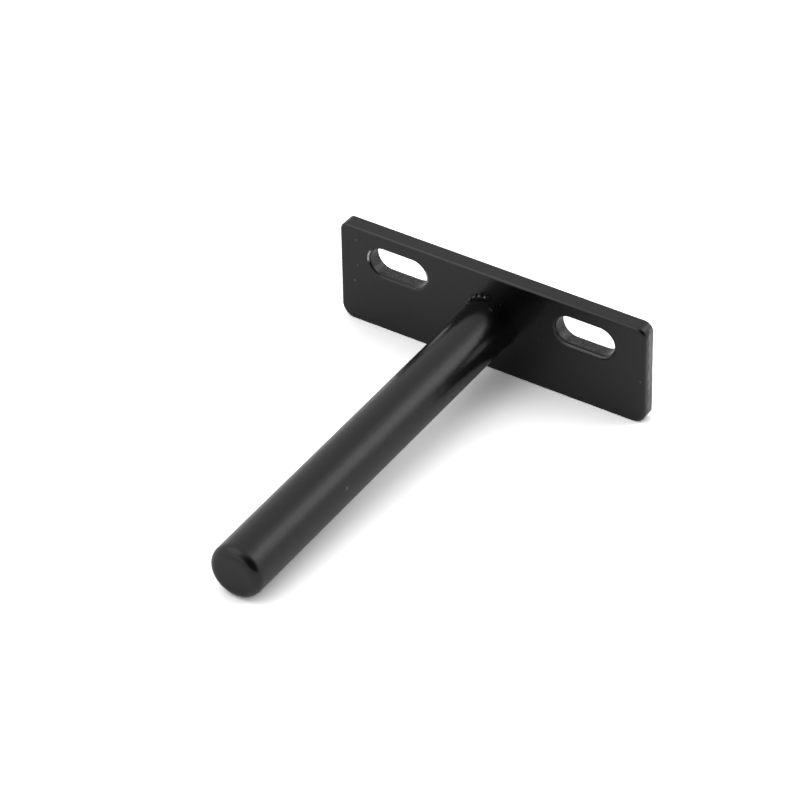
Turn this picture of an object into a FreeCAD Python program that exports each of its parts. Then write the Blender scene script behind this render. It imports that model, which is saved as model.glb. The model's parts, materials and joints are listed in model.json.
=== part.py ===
import FreeCAD, Part
import math
import os
import Sketcher

# Floating shelf bracket: a flat steel wall plate with two long screw slots, a solid round rod that stands
# square on the plate's front, and the ring of weld that joins them.
#
# Millimetres, +Z up. The origin is the middle of the plate's wall face, on the rod's axis. The plate lies
# along X, the wall is on the +Y side, and the rod points along -Y, into the shelf.

# The driving sizes: alias, value and meaning.
SIZES = [
    ("plate_length", "62", "plate, end to end"),
    ("plate_height", "20", "plate, lower edge to upper edge"),
    ("plate_thickness", "3", "plate, wall face to front face"),
    ("plate_corner_radius", "1.9", "rounding of the plate's four corners"),
    ("plate_front_roll", "0.5", "rounding of the front outline, left by blanking"),
    ("plate_back_break", "0.2", "rounding of the wall face's outline"),
    ("slot_pitch", "38", "screw slots, middle to middle"),
    ("slot_length", "11.8", "screw slot, end to end"),
    ("slot_width", "6", "screw slot, across"),
    ("slot_top_land", "2.7", "metal between a slot and the plate's upper edge"),
    ("slot_rim_roll", "0.6", "rounding of a slot's front rim"),
    ("rod_diameter", "10", "rod, across"),
    ("rod_length", "80", "rod, from the plate's front face to its end"),
    ("rod_end_round", "1.7", "rounding of the rod's free end"),
    ("weld_leg", "0.8", "weld, its reach along the rod, out along the plate and in under the rod's foot"),
]


def make_sheet(document):
    """The spreadsheet that holds the driving sizes, one alias a row."""
    sheet = document.addObject("Spreadsheet::Sheet", "Sizes")
    for row, (alias, value, meaning) in enumerate(SIZES, start=1):
        sheet.set(f"A{row}", meaning)
        sheet.set(f"B{row}", value)
        sheet.setAlias(f"B{row}", alias)
    document.recompute()
    return sheet


def make_body(document, label):
    """An empty body whose label names the sub-part."""
    body = document.addObject("PartDesign::Body", label)
    body.Label = label
    return body


def origin_feature(body, role):
    """One of a body's own origin planes or axes."""
    return next(feature for feature in body.Origin.OriginFeatures if feature.Role == role)


def make_sketch(body, name, plane_role):
    """An empty sketch on one of the body's origin planes."""
    sketch = body.newObject("Sketcher::SketchObject", name)
    sketch.AttachmentSupport = [(origin_feature(body, plane_role), "")]
    sketch.MapMode = "FlatFace"
    return sketch


def dimension(sketch, name, formula, *constraint):
    """A named constraint of the sketch, bound to a formula of the driving sizes."""
    index = sketch.addConstraint(Sketcher.Constraint(*constraint))
    sketch.renameConstraint(index, name)
    sketch.setExpression(f"Constraints.{name}", formula)


def edge_names(shape, wanted):
    """The names, such as Edge7, that a list of edges has in a shape."""
    return [f"Edge{index}" for index, edge in enumerate(shape.Edges, start=1)
            if any(edge.isSame(other) for other in wanted)]


def round_edges(body, name, base, edges, radius_alias):
    """A fillet of some of the last feature's edges."""
    fillet = body.newObject("PartDesign::Fillet", name)
    fillet.Base = (base, edge_names(base.Shape, edges))
    fillet.setExpression("Radius", f"Sizes.{radius_alias}")
    body.Document.recompute()
    return fillet


def flat_face(shape, depth):
    """The plate's flat face that lies at a depth along Y."""
    touch = 1e-6
    level = [face for face in shape.Faces if face.BoundBox.YLength < touch]
    return next(face for face in level if abs(face.CenterOfMass.y - depth) < touch)


def draw_rectangle(sketch, half_length, half_height):
    """A rectangle about the sketch's origin, bound to the plate's length and height."""
    corners = [(-half_length, -half_height), (half_length, -half_height),
               (half_length, half_height), (-half_length, half_height)]
    points = [FreeCAD.Vector(x, z, 0) for x, z in corners]
    for start, end in zip(points, points[1:] + points[:1]):
        sketch.addGeometry(Part.LineSegment(start, end))
    lower, right, upper, left = range(4)
    for line, following in ((lower, right), (right, upper), (upper, left), (left, lower)):
        sketch.addConstraint(Sketcher.Constraint("Coincident", line, 2, following, 1))
    for line in (lower, upper):
        sketch.addConstraint(Sketcher.Constraint("Horizontal", line))
    for line in (right, left):
        sketch.addConstraint(Sketcher.Constraint("Vertical", line))
    sketch.addConstraint(Sketcher.Constraint("Symmetric", lower, 1, right, 2, -1, 1))
    dimension(sketch, "length", "Sizes.plate_length", "DistanceX", lower, 1, lower, 2, 2 * half_length)
    dimension(sketch, "height", "Sizes.plate_height", "DistanceY", right, 1, right, 2, 2 * half_height)


def draw_slot(sketch, inner, outer, level, radius):
    """A slot with round ends, whose end centres are at inner and outer along X, at one level."""
    quarter = math.pi / 2
    upright = FreeCAD.Vector(0, 0, 1)
    centres = [FreeCAD.Vector(x, level, 0) for x in (outer, inner)]
    rise = FreeCAD.Vector(0, radius, 0)
    outer_end = Part.ArcOfCircle(Part.Circle(centres[0], upright, radius), -quarter, quarter)
    inner_end = Part.ArcOfCircle(Part.Circle(centres[1], upright, radius), quarter, 3 * quarter)
    upper_side = Part.LineSegment(centres[0] + rise, centres[1] + rise)
    lower_side = Part.LineSegment(centres[1] - rise, centres[0] - rise)
    far = sketch.addGeometry(outer_end)
    near = sketch.addGeometry(inner_end)
    upper = sketch.addGeometry(upper_side)
    lower = sketch.addGeometry(lower_side)
    for side, first_end, last_end in ((upper, far, near), (lower, near, far)):
        sketch.addConstraint(Sketcher.Constraint("Tangent", side, 1, first_end, 2))
        sketch.addConstraint(Sketcher.Constraint("Tangent", side, 2, last_end, 1))
    sketch.addConstraint(Sketcher.Constraint("Equal", far, near))
    sketch.addConstraint(Sketcher.Constraint("Horizontal", upper))
    dimension(sketch, "half_width", "Sizes.slot_width / 2", "Radius", far, radius)
    dimension(sketch, "inner_centre", "(Sizes.slot_pitch - Sizes.slot_length + Sizes.slot_width) / 2",
              "DistanceX", -1, 1, near, 3, inner)
    dimension(sketch, "outer_centre", "(Sizes.slot_pitch + Sizes.slot_length - Sizes.slot_width) / 2",
              "DistanceX", -1, 1, far, 3, outer)
    dimension(sketch, "level", "(Sizes.plate_height - Sizes.slot_width) / 2 - Sizes.slot_top_land",
              "DistanceY", -1, 1, near, 3, level)


def make_wall_plate(document, sizes):
    """The blanked plate: its outline, the two screw slots, and the edges that blanking leaves round."""
    body = make_body(document, "wall_plate")
    outline = make_sketch(body, "plate_outline", "XZ_Plane")
    draw_rectangle(outline, sizes.plate_length / 2, sizes.plate_height / 2)
    blank = body.newObject("PartDesign::Pad", "plate_blank")
    blank.Profile = outline
    blank.setExpression("Length", "Sizes.plate_thickness")
    document.recompute()

    corners = [edge for edge in blank.Shape.Edges if edge.BoundBox.YLength > sizes.plate_thickness / 2]
    cornered = round_edges(body, "plate_corners", blank, corners, "plate_corner_radius")

    slot_outline = make_sketch(body, "slot_outline", "XZ_Plane")
    half_straight = (sizes.slot_length - sizes.slot_width) / 2
    middle = sizes.slot_pitch / 2
    slot_level = (sizes.plate_height - sizes.slot_width) / 2 - sizes.slot_top_land
    draw_slot(slot_outline, middle - half_straight, middle + half_straight, slot_level, sizes.slot_width / 2)
    slot = body.newObject("PartDesign::Pocket", "right_slot")
    slot.Profile = slot_outline
    slot.Type = "ThroughAll"
    slot.Reversed = True
    document.recompute()
    slots = body.newObject("PartDesign::Mirrored", "left_slot")
    slots.Originals = [slot]
    slots.MirrorPlane = (origin_feature(body, "YZ_Plane"), [""])
    body.Tip = slots
    document.recompute()
    slot_shape = Part.Face(slot_outline.Shape.Wires[0])
    both_slots = 2 * slot_shape.Area * sizes.plate_thickness
    cut_away = cornered.Shape.Volume - slots.Shape.Volume
    slack = 1e-3
    if abs(cut_away / both_slots - 1) > slack:
        raise RuntimeError("the screw slots don't go through the plate")

    front = flat_face(slots.Shape, -sizes.plate_thickness)
    rolled = round_edges(body, "front_roll", slots, front.OuterWire.Edges, "plate_front_roll")
    front = flat_face(rolled.Shape, -sizes.plate_thickness)
    rims = [edge for wire in front.Wires if not wire.isSame(front.OuterWire) for edge in wire.Edges]
    rimmed = round_edges(body, "slot_rims", rolled, rims, "slot_rim_roll")
    back = flat_face(rimmed.Shape, 0)
    round_edges(body, "back_break", rimmed, back.OuterWire.Edges, "plate_back_break")
    return body


def make_support_rod(document, sizes):
    """The solid rod: its bevelled foot sits on the plate's front face, and its free end is rounded."""
    body = make_body(document, "support_rod")
    body.setExpression("Placement.Base.y", "-Sizes.plate_thickness")
    section = make_sketch(body, "rod_section", "XZ_Plane")
    upright = FreeCAD.Vector(0, 0, 1)
    circle = section.addGeometry(Part.Circle(FreeCAD.Vector(0, 0, 0), upright, sizes.rod_diameter / 2))
    section.addConstraint(Sketcher.Constraint("Coincident", circle, 3, -1, 1))
    dimension(section, "across", "Sizes.rod_diameter", "Diameter", circle, sizes.rod_diameter)
    bar = body.newObject("PartDesign::Pad", "rod_bar")
    bar.Profile = section
    bar.setExpression("Length", "Sizes.rod_length")
    document.recompute()
    free_end = min(bar.Shape.Edges, key=lambda edge: edge.BoundBox.YMax)
    ended = round_edges(body, "rod_end", bar, [free_end], "rod_end_round")
    foot = max(ended.Shape.Edges, key=lambda edge: edge.BoundBox.YMin)
    bevel = body.newObject("PartDesign::Chamfer", "rod_foot_bevel")
    bevel.Base = (ended, edge_names(ended.Shape, [foot]))
    bevel.setExpression("Size", "Sizes.weld_leg")
    document.recompute()
    return body


def make_weld_bead(document, sizes):
    """The weld: a ring that fills the rod's bevel and the corner between the rod and the plate's front."""
    body = make_body(document, "weld_bead")
    body.setExpression("Placement.Base.y", "-Sizes.plate_thickness")
    section = make_sketch(body, "weld_section", "XY_Plane")
    rod_side = sizes.rod_diameter / 2
    under_rod = FreeCAD.Vector(rod_side - sizes.weld_leg, 0, 0)
    on_plate = FreeCAD.Vector(rod_side + sizes.weld_leg, 0, 0)
    on_rod = FreeCAD.Vector(rod_side, -sizes.weld_leg, 0)
    foot = section.addGeometry(Part.LineSegment(under_rod, on_plate))
    face = section.addGeometry(Part.LineSegment(on_plate, on_rod))
    bevel = section.addGeometry(Part.LineSegment(on_rod, under_rod))
    for line, following in ((foot, face), (face, bevel), (bevel, foot)):
        section.addConstraint(Sketcher.Constraint("Coincident", line, 2, following, 1))
    for end_point in (1, 2):
        section.addConstraint(Sketcher.Constraint("PointOnObject", foot, end_point, -1))
    dimension(section, "rod_side", "Sizes.rod_diameter / 2", "DistanceX", -1, 1, face, 2, on_rod.x)
    dimension(section, "under_rod", "Sizes.weld_leg", "DistanceX", foot, 1, face, 2, sizes.weld_leg)
    dimension(section, "on_plate", "Sizes.weld_leg", "DistanceX", face, 2, foot, 2, sizes.weld_leg)
    dimension(section, "on_rod", "Sizes.weld_leg", "DistanceY", face, 2, -1, 1, sizes.weld_leg)
    ring = body.newObject("PartDesign::Revolution", "weld_ring")
    ring.Profile = section
    ring.ReferenceAxis = (origin_feature(body, "Y_Axis"), [""])
    ring.Angle = 360
    document.recompute()
    return body


def check(document, bodies):
    """Stops the script if a feature failed or a sub-part has no sound solid."""
    for item in document.Objects:
        if {"Invalid", "Error"} & set(item.State):
            raise RuntimeError(f"{item.Label} failed: {item.State}")
    for body in bodies:
        if body.Shape.isNull() or not body.Shape.isValid() or len(body.Shape.Solids) != 1:
            raise RuntimeError(f"{body.Label} isn't one sound solid")


document = FreeCAD.newDocument("shelf_bracket")
sizes = make_sheet(document)
bodies = [make(document, sizes) for make in (make_wall_plate, make_support_rod, make_weld_bead)]
document.recompute()
check(document, bodies)

os.makedirs("parts", exist_ok=True)
for body in bodies:
    body.Shape.exportStep(f"parts/{body.Label}.step")
    print(f"{body.Label}: {body.Shape.Volume:.1f} mm3")
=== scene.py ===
# %% [markdown]
# A floating shelf bracket is a small flat plate that is screwed to the wall, with a round rod welded
# square to its front. A shelf with a drilled back edge slides on to the rod and hides it. The solids come
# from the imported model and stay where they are. This lesson models what the eye sees over them: the
# rolled edges that a press leaves, the lumpy ring of weld, and one black satin coat over everything.

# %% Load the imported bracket
import json
import math
import random

import bmesh
import bpy
from mathutils import Matrix, Vector


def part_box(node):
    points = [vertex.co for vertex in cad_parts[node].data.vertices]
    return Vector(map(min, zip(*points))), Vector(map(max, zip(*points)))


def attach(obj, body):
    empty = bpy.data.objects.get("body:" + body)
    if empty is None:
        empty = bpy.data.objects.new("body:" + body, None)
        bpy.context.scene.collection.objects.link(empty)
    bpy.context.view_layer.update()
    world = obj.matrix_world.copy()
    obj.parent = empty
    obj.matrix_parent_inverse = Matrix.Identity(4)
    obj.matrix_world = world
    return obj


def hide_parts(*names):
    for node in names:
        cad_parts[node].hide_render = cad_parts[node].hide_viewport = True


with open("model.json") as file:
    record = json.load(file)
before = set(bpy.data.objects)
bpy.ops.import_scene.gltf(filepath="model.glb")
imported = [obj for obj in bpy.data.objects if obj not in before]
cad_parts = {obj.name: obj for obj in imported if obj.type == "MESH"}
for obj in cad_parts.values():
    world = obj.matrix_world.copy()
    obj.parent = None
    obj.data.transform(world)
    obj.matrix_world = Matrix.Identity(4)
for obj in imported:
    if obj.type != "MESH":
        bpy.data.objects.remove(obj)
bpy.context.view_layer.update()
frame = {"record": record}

# %% [markdown]
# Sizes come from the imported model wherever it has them: each node's box gives the plate and the rod, and
# the record's mount gives the screw slots. Blender works in metres, so millimetres are multiplied down.

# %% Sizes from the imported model
MM = 0.001

plate_low, plate_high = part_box("wall_plate")
rod_low, rod_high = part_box("support_rod")
plate_size = plate_high - plate_low
plate_middle = (plate_low + plate_high) / 2
plate_front = plate_low.y
plate_back = plate_high.y
rod_radius = (rod_high.x - rod_low.x) / 2
rod_foot = rod_high.y
rod_tip = rod_low.y

slot_mount = next(mount for mount in frame["record"]["mounts"] if mount["name"] == "screw_slots")
slot_radius = slot_mount["dims"]["hole_r_mm"] * MM
slot_straight = slot_mount["dims"]["slot_length_mm"] * MM - 2 * slot_radius
slot_reach = slot_mount["dims"]["spacing_x_mm"] * MM / 2
slot_level = slot_mount["pos_m"][2]
plate_mm = [round(value / MM, 2) for value in plate_size]
print("plate", plate_mm, "mm, rod radius", round(rod_radius / MM, 2), "mm")

# %% [markdown]
# Blender's operators act on whatever is selected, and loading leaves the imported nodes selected. So every
# piece starts from nothing selected, and edges or faces are then picked in code by where they lie.


# %% Helpers for modelling by operator
def select_only(*pieces):
    """Object mode, with just these pieces selected and the last of them active."""
    if bpy.context.mode != "OBJECT":
        bpy.ops.object.mode_set(mode="OBJECT")
    bpy.ops.object.select_all(action="DESELECT")
    for piece in pieces:
        piece.select_set(True)
        bpy.context.view_layer.objects.active = piece


def new_piece(name, add_primitive, **settings):
    """Adds a primitive, names it, and moves its place and size into its mesh."""
    select_only()
    add_primitive(**settings)
    piece = bpy.context.object
    piece.name = name
    piece.data.name = name
    bpy.ops.object.transform_apply(location=True, rotation=True, scale=True)
    return piece


def pick(piece, kind, test):
    """Edit mode, with just the verts, edges or faces selected whose corner points pass a test."""
    select_only(piece)
    bpy.ops.object.mode_set(mode="EDIT")
    bpy.ops.mesh.select_mode(type={"verts": "VERT", "edges": "EDGE", "faces": "FACE"}[kind])
    bpy.ops.mesh.select_all(action="DESELECT")
    mesh = bmesh.from_edit_mesh(piece.data)
    for element in getattr(mesh, kind):
        corners = [element] if kind == "verts" else element.verts
        element.select_set(test(*[corner.co for corner in corners]))
    mesh.select_flush_mode()
    bmesh.update_edit_mesh(piece.data)


def apply_modifier(piece, kind, **settings):
    """Adds a modifier, sets it up, and applies it to the mesh."""
    select_only(piece)
    modifier = piece.modifiers.new(kind.lower(), kind)
    for name, value in settings.items():
        setattr(modifier, name, value)
    bpy.ops.object.modifier_apply(modifier=modifier.name)


def near(length, other):
    """True where two lengths agree to a hundredth of a millimetre."""
    return abs(length - other) < 0.01 * MM


# %% [markdown]
# The camera looks down on the bracket from its right front with a long lens, as for a shop's picture. Its
# place was found by matching the plate's corners, the slots and the rod's edges, so the frame needs no
# shift.

# %% Camera
CAMERA_PLACE = Vector((0.3331, -0.5419, 0.4773))
CAMERA_AZIMUTH = math.radians(33.164)
CAMERA_ELEVATION = math.radians(37.955)
CAMERA_ROLL = math.radians(-1.152)
LENS_MM = 204.85

scene = bpy.context.scene
camera = bpy.data.objects.new("camera", bpy.data.cameras.new("camera"))
scene.collection.objects.link(camera)
camera.data.lens = LENS_MM
camera.data.clip_start = 0.01
camera.matrix_world = (
    Matrix.Translation(CAMERA_PLACE)
    @ Matrix.Rotation(CAMERA_AZIMUTH, 4, "Z")
    @ Matrix.Rotation(math.pi / 2 - CAMERA_ELEVATION, 4, "X")
    @ Matrix.Rotation(CAMERA_ROLL, 4, "Z")
)
scene.camera = camera
scene.view_settings.view_transform = "Standard"
print("camera", round((CAMERA_PLACE - plate_middle).length, 3), "m from the plate, lens", LENS_MM, "mm")

# %% [markdown]
# Shader maths reads best as a sum. This small class wraps a socket, so that adding or multiplying two of
# them adds the Math node for it, and one method makes every other kind of node.


# %% Shader sockets as Python values
class Wire:
    """A node's output socket that takes part in Python sums."""

    def __init__(self, tree, socket=None):
        self.tree = tree
        self.socket = socket

    def node(self, kind, settings=None, sockets=None, output=0):
        """Adds a node with settings, then values or wires for its sockets, and gives one output."""
        node = self.tree.nodes.new(kind)
        for name, value in (settings or {}).items():
            setattr(node, name, value)
        for name, value in (sockets or {}).items():
            if isinstance(value, Wire):
                self.tree.links.new(value.socket, node.inputs[name])
            else:
                node.inputs[name].default_value = value
        return Wire(self.tree, node.outputs[output] if node.outputs else None)

    def math(self, operation, *others):
        """A Math node of this wire and other wires or numbers."""
        return self.node("ShaderNodeMath", {"operation": operation}, dict(enumerate((self, *others))))

    def __add__(self, other):
        return self.math("ADD", other)

    def __sub__(self, other):
        return self.math("SUBTRACT", other)

    def __rsub__(self, other):
        return self.math("MULTIPLY_ADD", -1.0, other)

    def __mul__(self, other):
        return self.math("MULTIPLY", other)

    def __abs__(self):
        return self.math("ABSOLUTE")

    __radd__ = __add__
    __rmul__ = __mul__

    def rise(self, start, end):
        """Climbs smoothly from 0 where this wire is at start to 1 where it is at end."""
        if start > end:
            return 1 - self.rise(end, start)
        sockets = {"Value": self, "From Min": start, "From Max": end}
        return self.node("ShaderNodeMapRange", {"interpolation_type": "SMOOTHSTEP"}, sockets)

    def axis(self, name):
        """The X, Y or Z of this wire's vector."""
        return self.node("ShaderNodeSeparateXYZ", {}, {"Vector": self}, name)

    def measure(self, operation, other):
        """A number from this wire's vector and another one, such as their DISTANCE."""
        return self.node("ShaderNodeVectorMath", {"operation": operation}, {0: self, 1: other}, "Value")

    def noise(self, lump, detail):
        """Soft noise about 0.5 at this wire's point, with lumps of a size in metres."""
        point = self.node("ShaderNodeMapping", {}, {"Vector": self, "Scale": [1 / lump] * 3})
        sockets = {"Vector": point, "Scale": 1.0, "Detail": detail}
        return self.node("ShaderNodeTexNoise", {}, sockets, "Fac")

    def mix(self, first, second):
        """The first colour where this wire is 0, and the second where it is 1."""
        sockets = {"Factor": self, 6: first, 7: second}
        return self.node("ShaderNodeMix", {"data_type": "RGBA"}, sockets, 2)


def start_wires(owner):
    """Clears the nodes of a material or world, and gives a wire to make new ones from."""
    owner.use_nodes = True
    owner.node_tree.nodes.clear()
    return Wire(owner.node_tree)


def grey(level):
    """A colour with this much red, green and blue."""
    return (level, level, level, 1)


# %% [markdown]
# A black coat is a dim mirror, so it photographs as soft greys of whatever stands around it. Here that is
# a white room, a little brighter to the front and the right, with a dark side behind the camera. A
# picture of a room could stand in for it, but two directions and a fade are easier to steer. The camera
# itself sees plain white.

# %% White studio
STUDIO_WHITE = 0.93
MORE_TO_RIGHT = 0.1
MORE_TO_FRONT = 0.24
DARK_SIDE_WHITE = 0.06
DARK_SIDE = Vector((0.74, -0.50, 0.44)).normalized()
DARK_SIDE_START = math.radians(62)
DARK_SIDE_FULL = math.radians(18)

world = bpy.data.worlds.new("white_studio")
scene.world = world
wires = start_wires(world)
direction = wires.node("ShaderNodeTexCoord", {}, {}, "Generated")
facing = direction.measure("DOT_PRODUCT", DARK_SIDE)
dark = facing.rise(math.cos(DARK_SIDE_START), math.cos(DARK_SIDE_FULL))
wall = STUDIO_WHITE + direction.axis("X") * MORE_TO_RIGHT - direction.axis("Y") * MORE_TO_FRONT
around = wall + dark * (DARK_SIDE_WHITE - wall)
seen = wires.node("ShaderNodeLightPath", {}, {}, "Is Camera Ray")
strength = around + seen * (1 - around)
background = wires.node("ShaderNodeBackground", {}, {"Strength": strength, "Color": grey(1)})
wires.node("ShaderNodeOutputWorld", {}, {"Surface": background})
print("studio", STUDIO_WHITE, "white,", DARK_SIDE_WHITE, "behind the camera")

# %% [markdown]
# A loose bracket doesn't lie flat. It leans on the plate's lower front edge and the rod's end, so in the
# bracket's own frame the table is tilted a little. The camera sees the paper overexposed, as in most shop
# pictures, so only the deep part of the shadow is left. From below, the paper is see-through.

# %% Table
TABLE_SIZE = 3.0
PAPER_WHITE = 0.95
PAPER_WHITE_IN_VIEW = 1.93
LOWER_EDGE_ROLL = 0.2 * MM
ROD_END_ROUND = 1.7 * MM

plate_rest = Vector((0, plate_front + LOWER_EDGE_ROLL, plate_low.z))
rod_rest = Vector((0, rod_tip + ROD_END_ROUND, rod_low.z))
table_tilt = math.atan2(rod_rest.z - plate_rest.z, plate_rest.y - rod_rest.y)
table = new_piece("table", bpy.ops.mesh.primitive_plane_add, size=TABLE_SIZE, location=plate_rest,
                  rotation=(-table_tilt, 0, 0))
paper = bpy.data.materials.new("white_paper")
wires = start_wires(paper)
seen = wires.node("ShaderNodeLightPath", {}, {}, "Is Camera Ray")
white = seen.mix(grey(PAPER_WHITE), grey(PAPER_WHITE_IN_VIEW))
top = wires.node("ShaderNodeBsdfDiffuse", {}, {"Color": white})
clear = wires.node("ShaderNodeBsdfTransparent")
below = wires.node("ShaderNodeNewGeometry", {}, {}, "Backfacing")
sheet = wires.node("ShaderNodeMixShader", {}, {"Fac": below * seen, 1: top, 2: clear})
wires.node("ShaderNodeOutputMaterial", {}, {"Surface": sheet})
table.data.materials.append(paper)
print("table tilted", round(math.degrees(table_tilt), 2), "degrees")

# %% [markdown]
# Softboxes stand in the white room. The one behind on the right draws the long streak down the rod. A
# real softbox is brightest in its middle, so it is built from a large weak square with a small bright one
# in front of it, and the streak fades at both sides. Another one hangs overhead on the left.

# %% Softboxes
BEHIND_RIGHT = (0.53, 0.64, 0.555)
OVERHEAD_LEFT = (-0.45, -0.30, 0.84)


def softbox(name, towards, distance, across, brightness):
    """A square lamp that faces the bracket and looks this bright in a mirror."""
    data = bpy.data.lights.new(name, "AREA")
    data.shape = "SQUARE"
    data.size = across
    data.energy = brightness * math.pi * across * across
    lamp = bpy.data.objects.new(name, data)
    scene.collection.objects.link(lamp)
    towards = Vector(towards).normalized()
    turn = towards.to_track_quat("Z", "Y").to_matrix().to_4x4()
    lamp.matrix_world = Matrix.Translation(plate_middle + towards * distance) @ turn
    print(name, round(data.energy, 2), "W")


softbox("back_softbox", BEHIND_RIGHT, distance=1.2, across=0.95, brightness=0.4)
softbox("back_softbox_middle", BEHIND_RIGHT, distance=1.1, across=0.46, brightness=0.9)
softbox("overhead_softbox", OVERHEAD_LEFT, distance=1.2, across=1.1, brightness=0.5)

# %% [markdown]
# The coat is a satin black powder paint. It could be one even material, but powder goes on thin and dry
# inside the slots, along the bar's long edges and on the torn ends. Those places are worked out from
# where a point lies on the bracket: how far it is from a slot's outline, and how deep it is behind the
# plate's front.

# %% Where the coat is thin
coat = bpy.data.materials.new("satin_black_coat")
wires = start_wires(coat)
place = wires.node("ShaderNodeTexCoord", {}, {}, "Object")
x = place.axis("X")
z = place.axis("Z")
deep = place.axis("Y") - plate_front

past_slot = (abs(abs(x) - slot_reach) - slot_straight / 2).math("MAXIMUM", 0.0)
above_slot = z - slot_level
from_slot = (past_slot * past_slot + above_slot * above_slot).math("SQRT") - slot_radius
on_plate = deep.rise(-0.1 * MM, 0.3 * MM)
behind_rim = deep.rise(0.6 * MM, 0.9 * MM)
slot_wall = from_slot.rise(0.25 * MM, 0.05 * MM) * behind_rim
long_edge = abs(z).rise(plate_high.z - 0.12 * MM, plate_high.z - 0.02 * MM) * on_plate
tear = place.noise(1.5 * MM, 2)
torn = (deep + tear * 1.6 * MM).rise(2.05 * MM, 2.4 * MM)
sheared_end = abs(x).rise(plate_high.x - 0.5 * MM, plate_high.x - 0.3 * MM) * torn
dry = slot_wall.math("MAXIMUM", long_edge).math("MAXIMUM", sheared_end)
print("thin coat found by", len(coat.node_tree.nodes), "nodes")

# %% [markdown]
# Thin paint looks paler: the torn ends are paler and the slots' walls are mottled. Light is painted into
# the colour as well. The torn ends carry a painted highlight, strongest in their middle, and each slot
# wall has a smooth painted highlight at its right end. Along the rims that the punch rolled over, a
# painted highlight line runs under each slot and along part of the plate's upper edge.

# %% Pale edges and painted highlights
SLOT_WALL_PALE = 0.3
# Strength of the painted highlight patch at each slot wall's right end.
SLOT_END_HIGHLIGHT = 0.8
# Strength of the painted highlight line under each slot's rim.
SLOT_RIM_HIGHLIGHT = 0.45
LONG_EDGE_PALE = 0.015
# Strength of the painted highlight line along the plate's upper front edge.
FRONT_EDGE_HIGHLIGHT = 0.2
# Height where the torn ends' painted highlight is strongest, and how much it fades away from there.
END_HIGHLIGHT_LEVEL = 3 * MM
END_HIGHLIGHT_FADE = 0.35

grain = place.noise(0.4 * MM, 3)
# Painted highlight lines: the rolled rim under each slot, stronger to the right, and the plate's upper
# front edge, fading out to the right.
under_slot = z.rise(slot_level - 1.4 * MM, slot_level - 2.4 * MM) * x.rise(-45 * MM, 20 * MM)
slot_rim_highlight_mask = (from_slot + deep).rise(0.55 * MM, 0.42 * MM) * under_slot
front_edge_highlight_mask = (plate_high.z - z + deep).rise(0.4 * MM, 0.28 * MM) * x.rise(22 * MM, 0.0)
along_slot = x - x.math("SIGN") * slot_reach
# Painted highlight: a smooth bright patch in the colour at each slot wall's right end.
slot_end_highlight_mask = along_slot.rise(slot_straight / 2 + MM, slot_straight / 2 + 2 * MM) * slot_wall
# Torn ends: paler for their thin, torn coat, with a painted highlight that is palest near one height and
# fades above and below.
end_highlight_falloff = 1 - abs(z - END_HIGHLIGHT_LEVEL).rise(3 * MM, 10 * MM) * END_HIGHLIGHT_FADE
pale_end_and_highlight = sheared_end * end_highlight_falloff * (0.6 + tear * 0.8)
mottled = (slot_wall * SLOT_WALL_PALE + long_edge * LONG_EDGE_PALE) * grain.rise(0.4, 0.65)
# The two painted highlight lines, kept to the plate's front.
painted_highlight_lines = (slot_rim_highlight_mask * SLOT_RIM_HIGHLIGHT + front_edge_highlight_mask * FRONT_EDGE_HIGHLIGHT) * on_plate
pale = pale_end_and_highlight + mottled + slot_end_highlight_mask * SLOT_END_HIGHLIGHT + painted_highlight_lines
print("pale edges found by", len(coat.node_tree.nodes), "nodes")

# %% [markdown]
# One worn spot on the left slot's rim shows bare steel, and a few specks of dust lie about. A speck could
# be a tiny mesh, but here it is only a ball in space: the paint turns grey wherever it lies inside one.
# The largest beads of the weld get a painted highlight in the same way: a grey ball stands for the light
# they catch. Their places are set here and used again later.

# %% Worn spot, dust and painted bead highlights
CHIP_LOW = slot_level - 0.8 * MM
CHIP_HIGH = slot_level + 2.0 * MM
CHIP_FADE = 0.4 * MM
# Each speck's millimetres across and up, and its size.
PLATE_DUST = [
    (-27.7, 7.3, 0.22), (-27.4, 1.95, 0.22), (-28.1, -1.6, 0.28), (30.2, -1.0, 0.22), (9.8, 0.2, 0.16),
]
ROD_DUST_ANGLE = 18.5
ROD_DUST_OUT = 53 * MM
ROD_DUST_SIZE = 0.5 * MM
DUST_STRENGTH = 0.5
BEAD_RADIUS = 0.26 * MM
BEAD_OUT = 0.45 * MM
# Each bead's angle round the rod in degrees, its millimetres off the rod's side, and how strong its
# painted highlight is.
WELD_BEADS = [(134.5, 0.45, 0.5), (123, 0.5, 0.8), (110, 0.6, 1.0), (98, 0.5, 1.0)]


def round_rod(angle, off_rod, off_plate):
    """The point at an angle in degrees round the rod, so far off its side and off the plate's front."""
    turn = math.radians(angle)
    from_axis = rod_radius + off_rod
    return Vector((from_axis * math.cos(turn), plate_front - off_plate, from_axis * math.sin(turn)))


peel = place.noise(0.5 * MM, 2)
slot_edge = from_slot.rise(0.05 * MM, 0.15 * MM) * from_slot.rise(0.5 * MM, 0.4 * MM) * (1 - behind_rim)
beside_slot = x.rise(0.0, -slot_reach - slot_straight / 2)
chip_height = z.rise(CHIP_LOW, CHIP_LOW + CHIP_FADE) * z.rise(CHIP_HIGH, CHIP_HIGH - CHIP_FADE)
chip = slot_edge * beside_slot * chip_height * peel.rise(0.3, 0.4)

specks_and_bead_highlights = [(Vector((across * MM, plate_front, up * MM)), size * MM, DUST_STRENGTH)
          for across, up, size in PLATE_DUST]
specks_and_bead_highlights.append((round_rod(ROD_DUST_ANGLE, 0.0, ROD_DUST_OUT), ROD_DUST_SIZE, DUST_STRENGTH))
# The weld beads' painted highlights: grey balls in the colour at the largest beads.
specks_and_bead_highlights += [(round_rod(angle, off_rod * MM, BEAD_OUT), 2 * BEAD_RADIUS, strength)
           for angle, off_rod, strength in WELD_BEADS]
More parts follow.
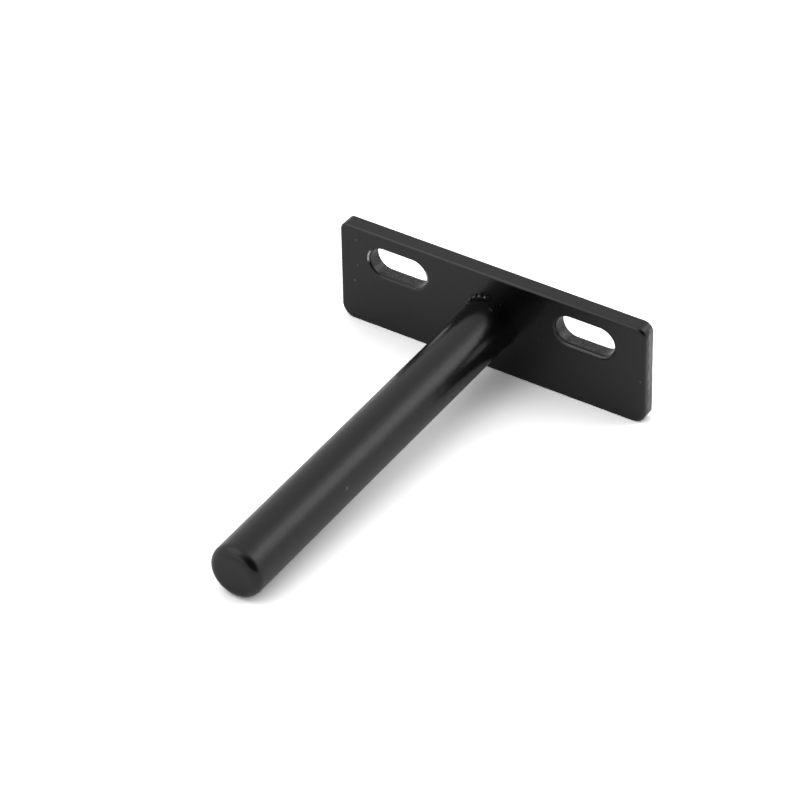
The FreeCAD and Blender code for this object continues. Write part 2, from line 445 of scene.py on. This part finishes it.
# Real dust and the beads' painted highlights both grey the paint inside their balls.
dust_and_bead_highlights = 0.0
for spot_centre, size, strength in specks_and_bead_highlights:
    dust_and_bead_highlights = place.measure("DISTANCE", spot_centre).rise(size, size / 3) * strength + dust_and_bead_highlights
print(len(specks_and_bead_highlights), "specks_and_bead_highlights")

# %% [markdown]
# Almost none of the coat's grey is its own colour: it is mostly gloss, so the base is close to black and
# the roughness carries the look. The painted highlights are the exception. Orange peel and slow waves bend
# the reflections a little, and grain shows only where the coat is dry. One Principled shader takes it all.

# %% Black coat
BLACK = (0.0016, 0.0016, 0.0017, 1)
LIGHTER_BLACK = (0.0030, 0.0030, 0.0032, 1)
# Thin-coat grey, used also for the painted highlights on rims, slot ends and torn ends.
THIN_COAT_AND_HIGHLIGHT_GREY = grey(0.17)
# Dust grey, used also for the weld beads' painted highlights.
DUST_AND_BEAD_HIGHLIGHT_GREY = grey(0.18)
STEEL = grey(0.5)
SATIN = 0.21
CLOUDS_ROUGHEN = 0.05
DRY_ROUGHENS = 0.06
BUMP_DEPTH = 0.004 * MM
PEEL_HEIGHT = 1.8
WAVE_HEIGHT = 12.0
GRAIN_HEIGHT = 5.0

waves = place.noise(3 * MM, 1)
clouds = place.noise(6 * MM, 3)
# Grain is left out of the slot ends' painted highlight patch.
height = peel * PEEL_HEIGHT + waves * WAVE_HEIGHT + grain * (dry - slot_end_highlight_mask) * GRAIN_HEIGHT
bump = wires.node("ShaderNodeBump", {}, {"Strength": 1.0, "Distance": BUMP_DEPTH, "Height": height})
# Thin coat and the painted highlights lighten the black here.
painted = pale.mix(clouds.mix(BLACK, LIGHTER_BLACK), THIN_COAT_AND_HIGHLIGHT_GREY)
# Real dust and the weld beads' painted highlights turn the paint grey here.
colour = chip.mix(dust_and_bead_highlights.mix(painted, DUST_AND_BEAD_HIGHLIGHT_GREY), STEEL)
roughness = SATIN + clouds * CLOUDS_ROUGHEN + dry * DRY_ROUGHENS
paint = {"Base Color": colour, "Roughness": roughness, "Metallic": chip, "Normal": bump}
surface = wires.node("ShaderNodeBsdfPrincipled", {}, paint)
wires.node("ShaderNodeOutputMaterial", {}, {"Surface": surface})
print("coat of", len(coat.node_tree.nodes), "nodes")

# %% [markdown]
# Every finished piece is handed over in the same way. It gets the coat, rides on the bracket's one body,
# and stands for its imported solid, which is then hidden.


# %% Hand over a finished piece
def finish_piece(piece, node):
    """Gives a finished piece its coat, puts it on the bracket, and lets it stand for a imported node."""
    piece.data.materials.clear()
    piece.data.materials.append(coat)
    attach(piece, "root")
    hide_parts(node)
    print(piece.name, len(piece.data.polygons), "faces")


# %% [markdown]
# The plate is cropped from flat bar and pressed. It could be a rounded rectangle given a thickness, but a
# block whose edges are worked one group at a time is closer to how the real one is made, and each group
# keeps its own roundness. First come the block and its corners.

# %% Plate blank with round corners
UPPER_LEFT_RADIUS = 1.45 * MM
UPPER_RIGHT_RADIUS = 1.85 * MM
LOWER_LEFT_RADIUS = 2.5 * MM
LOWER_RIGHT_RADIUS = 1.8 * MM

plate = new_piece("pressed_plate", bpy.ops.mesh.primitive_cube_add, size=1, location=plate_middle,
                  scale=plate_size)
for end, edge, radius in (
    (plate_low.x, plate_high.z, UPPER_LEFT_RADIUS),
    (plate_high.x, plate_high.z, UPPER_RIGHT_RADIUS),
    (plate_low.x, plate_low.z, LOWER_LEFT_RADIUS),
    (plate_high.x, plate_low.z, LOWER_RIGHT_RADIUS),
):
    pick(plate, "edges", lambda *ends: all(near(point.x, end) and near(point.z, edge) for point in ends))
    bpy.ops.mesh.bevel(offset=radius, segments=12, affect="EDGES")
bpy.ops.object.mode_set(mode="OBJECT")
print("corners rounded:", len(plate.data.polygons), "faces")

# %% [markdown]
# A shear cuts cleanly only part of the way through and then tears. Each end leans in a little towards the
# back, the border of the torn part is uneven, and the right end is slightly hollow. Paint could hint at
# this, but the light along the ends' edges needs real form. The ends are divided finely, a loop is cut
# round the plate where the tear starts, and the rows are then pushed into place.

# %% Sheared ends
END_CUTS = 20
END_REACH = 2.2 * MM
TEAR_START = plate_back - 1.5 * MM
TEAR_WANDER = 0.2 * MM
END_LEAN = 0.06 * MM
END_HOLLOW = 0.03 * MM
HOLLOW_MIDDLE = 1.5 * MM
HOLLOW_REACH = 6.0 * MM
wander = random.Random(7)

for end in (plate_low.x, plate_high.x):
    pick(plate, "edges", lambda a, b: near(a.x, end) and near(b.x, end) and near(a.y, b.y))
    bpy.ops.mesh.subdivide(number_cuts=END_CUTS)
bpy.ops.mesh.select_all(action="SELECT")
bpy.ops.mesh.bisect(plane_co=(0, TEAR_START, 0), plane_no=(0, 1, 0))
mesh = bmesh.from_edit_mesh(plate.data)
for vertex in mesh.verts:
    into_end = max(abs(vertex.co.x) - plate_high.x + END_REACH, 0) / END_REACH
    inwards = -math.copysign(into_end, vertex.co.x)
    depth = (vertex.co.y - plate_front) / plate_size.y
    if near(vertex.co.y, TEAR_START):
        vertex.co.y += wander.uniform(-1, 1) * TEAR_WANDER * into_end
    vertex.co.x += inwards * END_LEAN * depth * wander.uniform(0.7, 1.3)
    if vertex.co.x > 0:
        from_hollow = min(abs(vertex.co.z - HOLLOW_MIDDLE) / HOLLOW_REACH, 1)
        vertex.co.x += inwards * END_HOLLOW * math.cos(from_hollow * math.pi / 2) ** 2
bmesh.update_edit_mesh(plate.data)
bpy.ops.object.mode_set(mode="OBJECT")
print("ends sheared:", len(plate.data.polygons), "faces")

# %% [markdown]
# The two screw slots are punched right through, long enough for the bracket to be levelled on its screws.
# They could be drawn into the outline from the start, but a punch is closer to the real work. A
# cylinder's halves are pulled apart by the slot's straight length, and a Boolean modifier takes it out of
# the plate.

# %% Screw slots
for side in (-1, 1):
    centre = Vector((side * slot_reach, plate_middle.y, slot_level))
    punch = new_piece("slot_punch", bpy.ops.mesh.primitive_cylinder_add, vertices=72, radius=slot_radius,
                      depth=2 * plate_size.y, location=centre, rotation=(math.pi / 2, 0, 0))
    for half in (-1, 1):
        pick(punch, "verts", lambda p: (p.x - centre.x) * half > 0.01 * MM)
        bpy.ops.transform.translate(value=(half * slot_straight / 2, 0, 0))
    apply_modifier(plate, "BOOLEAN", object=punch, operation="DIFFERENCE", solver="EXACT")
    bpy.data.objects.remove(punch)
print("slots punched:", len(plate.data.polygons), "faces")

# %% [markdown]
# Each group of edges has its own roundness: the press rolls the front over most at the sheared ends, less
# round the slots and least along the bar's own edges, and at the back only the burr is broken. A Bevel
# modifier takes these as edge weights, so one pass rounds them all, and weighted normals keep the flat
# faces flat.

# %% Rolled edges
RIGHT_END_ROLL = 0.85 * MM
LEFT_END_ROLL = 0.5 * MM
UPPER_EDGE_ROLL = 0.45 * MM
RIGHT_SLOT_ROLL = 0.75 * MM
LEFT_SLOT_ROLL = 0.5 * MM
SLOT_TOP_ROLL = 0.25 * MM
BACK_BREAK = 0.1 * MM
SHARP = math.radians(50)


def roll_of(point):
    """The radius that an edge of the plate is rounded to, by where its middle lies."""
    past_straight = max(abs(abs(point.x) - slot_reach) - slot_straight / 2, 0)
    on_rim = math.hypot(past_straight, point.z - slot_level) < slot_radius + 0.1 * MM
    if point.y > plate_middle.y:
        return BACK_BREAK
    if on_rim:
        up_rim = (point.z - slot_level + slot_radius) / (2 * slot_radius)
        slot_roll = RIGHT_SLOT_ROLL if point.x > 0 else LEFT_SLOT_ROLL
        return slot_roll + (SLOT_TOP_ROLL - slot_roll) * up_rim
    into_end = max(abs(point.x) - plate_high.x + END_REACH, 0) / END_REACH
    end_roll = RIGHT_END_ROLL if point.x > 0 else LEFT_END_ROLL
    long_roll = UPPER_EDGE_ROLL if point.z > 0 else LOWER_EDGE_ROLL
    return long_roll + (end_roll - long_roll) * into_end


select_only(plate)
bpy.ops.object.mode_set(mode="EDIT")
mesh = bmesh.from_edit_mesh(plate.data)
weight = mesh.edges.layers.float.new("bevel_weight_edge")
for edge in mesh.edges:
    along = (edge.verts[0].co - edge.verts[1].co).normalized()
    if edge.calc_face_angle(0) > SHARP and abs(along.y) < 0.5:
        edge[weight] = roll_of((edge.verts[0].co + edge.verts[1].co) / 2) / RIGHT_END_ROLL
bmesh.update_edit_mesh(plate.data)
apply_modifier(plate, "BEVEL", limit_method="WEIGHT", width=RIGHT_END_ROLL, segments=7,
               use_clamp_overlap=False, loop_slide=False)
bpy.ops.object.shade_smooth()
apply_modifier(plate, "WEIGHTED_NORMAL", weight=80)
finish_piece(plate, "wall_plate")

# %% [markdown]
# The rod is a length of round bar, cut off and tumbled until its end is well rounded. Its outline could
# be spun round the axis, but a cylinder has only one edge to round, so that edge takes a wide bevel. The
# small inset in the end face and the extra ring behind the bevel hold the shading flat where the bar is
# flat.

# %% Support rod
END_FACE_INSET = 0.3 * MM

rod = new_piece("welded_rod", bpy.ops.mesh.primitive_cylinder_add, vertices=160, radius=rod_radius,
                depth=rod_foot - rod_tip, location=(0, (rod_foot + rod_tip) / 2, 0),
                rotation=(math.pi / 2, 0, 0))
pick(rod, "edges", lambda a, b: near(a.y, rod_tip) and near(b.y, rod_tip))
bpy.ops.mesh.bevel(offset=ROD_END_ROUND, segments=12, affect="EDGES")
pick(rod, "faces", lambda *corners: all(near(corner.y, rod_tip) for corner in corners))
bpy.ops.mesh.inset(thickness=END_FACE_INSET)
bpy.ops.mesh.select_all(action="SELECT")
bpy.ops.mesh.bisect(plane_co=(0, rod_tip + 1.5 * ROD_END_ROUND, 0), plane_no=(0, 1, 0))
bpy.ops.object.mode_set(mode="OBJECT")
bpy.ops.object.shade_smooth_by_angle(angle=SHARP)
finish_piece(rod, "support_rod")

# %% [markdown]
# The rod is welded from the front by a short burst of current, which leaves a narrow uneven ring under
# the paint. A ready-made torus would do, but a small circle that is spun round the rod shows where the
# ring's section sits in the corner. A cloud texture pushes lumps into it. It stands proud only where the
# arc was struck, and sinks into the corner everywhere else.

# %% Ring of weld
RING_THICKNESS = 0.3 * MM
RING_LUMPS = 0.25 * MM
LUMP_SIZE = 0.3 * MM
RING_SINK = 0.18 * MM
STRUCK_ANGLE = math.radians(115)
STRUCK_REACH = math.radians(38)

weld = new_piece("weld_flash", bpy.ops.mesh.primitive_circle_add, vertices=14, radius=RING_THICKNESS / 2,
                 location=(rod_radius - RING_THICKNESS / 10, rod_foot + RING_THICKNESS / 10, 0))
pick(weld, "verts", lambda p: True)
bpy.ops.mesh.spin(steps=240, angle=2 * math.pi, center=(0, 0, 0), axis=(0, 1, 0))
bpy.ops.mesh.select_all(action="SELECT")
bpy.ops.mesh.remove_doubles(threshold=0.005 * MM)
bpy.ops.mesh.normals_make_consistent(inside=False)
lumps = bpy.data.textures.new("weld_lumps", "CLOUDS")
lumps.noise_scale = LUMP_SIZE
apply_modifier(weld, "DISPLACE", texture=lumps, strength=RING_LUMPS, mid_level=0.5)
for vertex in weld.data.vertices:
    outwards = Vector((vertex.co.x, 0, vertex.co.z)).normalized()
    from_arc = abs(math.atan2(outwards.z, outwards.x) - STRUCK_ANGLE) / STRUCK_REACH
    vertex.co += (Vector((0, 1, 0)) - outwards) * RING_SINK * min(from_arc, 1)
print("ring of weld:", len(weld.data.polygons), "faces")

# %% [markdown]
# Spatter is small drops of steel, squashed a little on to what they stick to. Most sit shoulder to
# shoulder on the ring's upper side, others lie further apart round the rest of it, and a few flew on to
# the rod and the plate. They could be placed one by one, but a seeded random generator scatters them and
# still gives the same weld every run.

# %% Drops of spatter
DROP_SMALL = 0.07 * MM
DROP_LARGE = 0.16 * MM
DROP_SQUASH = (1, 0.8, 1.15)
# Each drop's angle in degrees, then its millimetres off the rod, off the plate and of radius.
SINGLE_DROPS = [
    (64, 0.5, 0.3, 0.2), (69.5, 0.0, 2.2, 0.3), (74.5, 0.0, 2.15, 0.3), (100, 0.0, 3.4, 0.14),
    (11, 2.05, 0.0, 0.22),
]
spatter = random.Random(11)
drops = []


def add_drop(angle, off_rod, off_plate, radius):
    """A round drop at an angle in degrees round the rod, so far off its side and off the plate."""
    turn = math.radians(angle)
    drops.append(new_piece(
        "drop", bpy.ops.mesh.primitive_ico_sphere_add, subdivisions=2, radius=radius,
        location=round_rod(angle, off_rod, off_plate), rotation=(turn, turn, 0), scale=DROP_SQUASH))


def add_row(count, start, step, wobble, off_rod, off_plate):
    """A row of drops round the rod, each of a random size and random millimetres off both faces."""
    for number in range(count):
        angle = start + number * step + spatter.uniform(-wobble, wobble)
        radius = spatter.uniform(DROP_SMALL, DROP_LARGE)
        add_drop(angle, spatter.uniform(*off_rod) * MM, spatter.uniform(*off_plate) * MM, radius)


add_row(count=24, start=90, step=2.2, wobble=2, off_rod=(0.0, 0.6), off_plate=(0.05, 0.5))
add_row(count=18, start=150, step=11, wobble=4, off_rod=(0.1, 0.3), off_plate=(0.0, 0.2))
for angle, off_rod, _ in WELD_BEADS:
    add_drop(angle, off_rod * MM, BEAD_OUT, BEAD_RADIUS)
for angle, off_rod, off_plate, radius in SINGLE_DROPS:
    add_drop(angle, off_rod * MM, off_plate * MM, radius * MM)
print(len(drops), "drops")
select_only(*drops, weld)
bpy.ops.object.join()
bpy.ops.object.shade_smooth()
finish_piece(weld, "weld_bead")

# %% [markdown]
# Last, the scene is brought up to date.

# %% Finish
bpy.context.view_layer.update()
